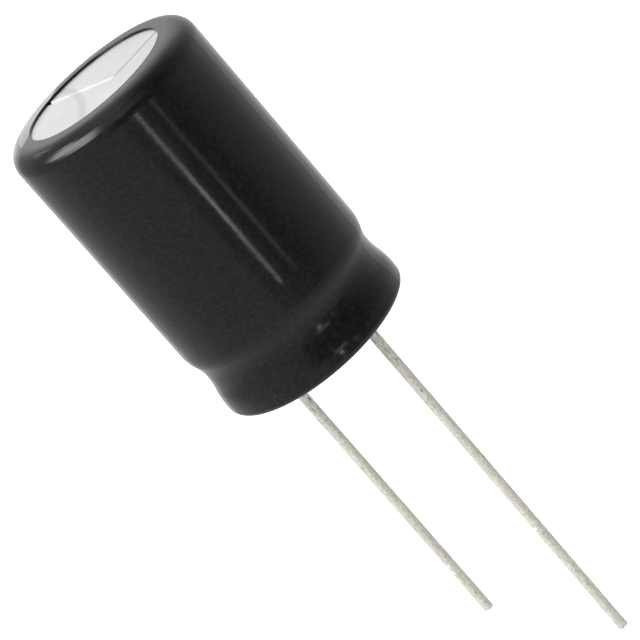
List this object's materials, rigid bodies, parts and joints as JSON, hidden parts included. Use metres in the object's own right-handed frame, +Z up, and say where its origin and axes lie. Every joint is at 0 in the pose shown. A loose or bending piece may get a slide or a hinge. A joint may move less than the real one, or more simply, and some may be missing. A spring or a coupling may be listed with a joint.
{
  "type": "electrolytic capacitor",
  "caption": "Radial aluminium electrolytic capacitor: drawn can with a scored vent in a black shrunk sleeve, rubber seal, wound foil and paper element, and straight leads of unequal length",
  "frame": {"origin": "Middle of the seating plane, on the can's axis, half way between the leads", "axes": "+Z up along the can to the vented end, with the leads pointing down; +X from the cathode lead to the anode lead"},
  "size_m": [0.0162, 0.0162, 0.0585],
  "materials": {
    "sleeve": "black heat-shrunk polyester sleeve, slightly glossy",
    "can": "bare drawn aluminium, satin",
    "seal": "moulded black rubber, matt",
    "anode_foil": "etched and formed foil, dull grey",
    "cathode_foil": "etched foil, dull light grey",
    "separator": "thin kraft paper soaked in electrolyte",
    "tape": "brown paper-backed closing tape",
    "tab": "rolled aluminium wire, satin",
    "lead": "tinned copper-clad steel wire, satin"
  },
  "bodies": {
    "root": {"sleeve": "sleeve", "can": "can", "rubber_seal": "seal", "anode_foil": "anode_foil", "inner_separator": "separator", "cathode_foil": "cathode_foil", "outer_separator": "separator", "closing_tape": "tape", "anode_tab": "tab", "cathode_tab": "tab", "anode_lead": "lead", "cathode_lead": "lead"}
  },
  "joints": []
}
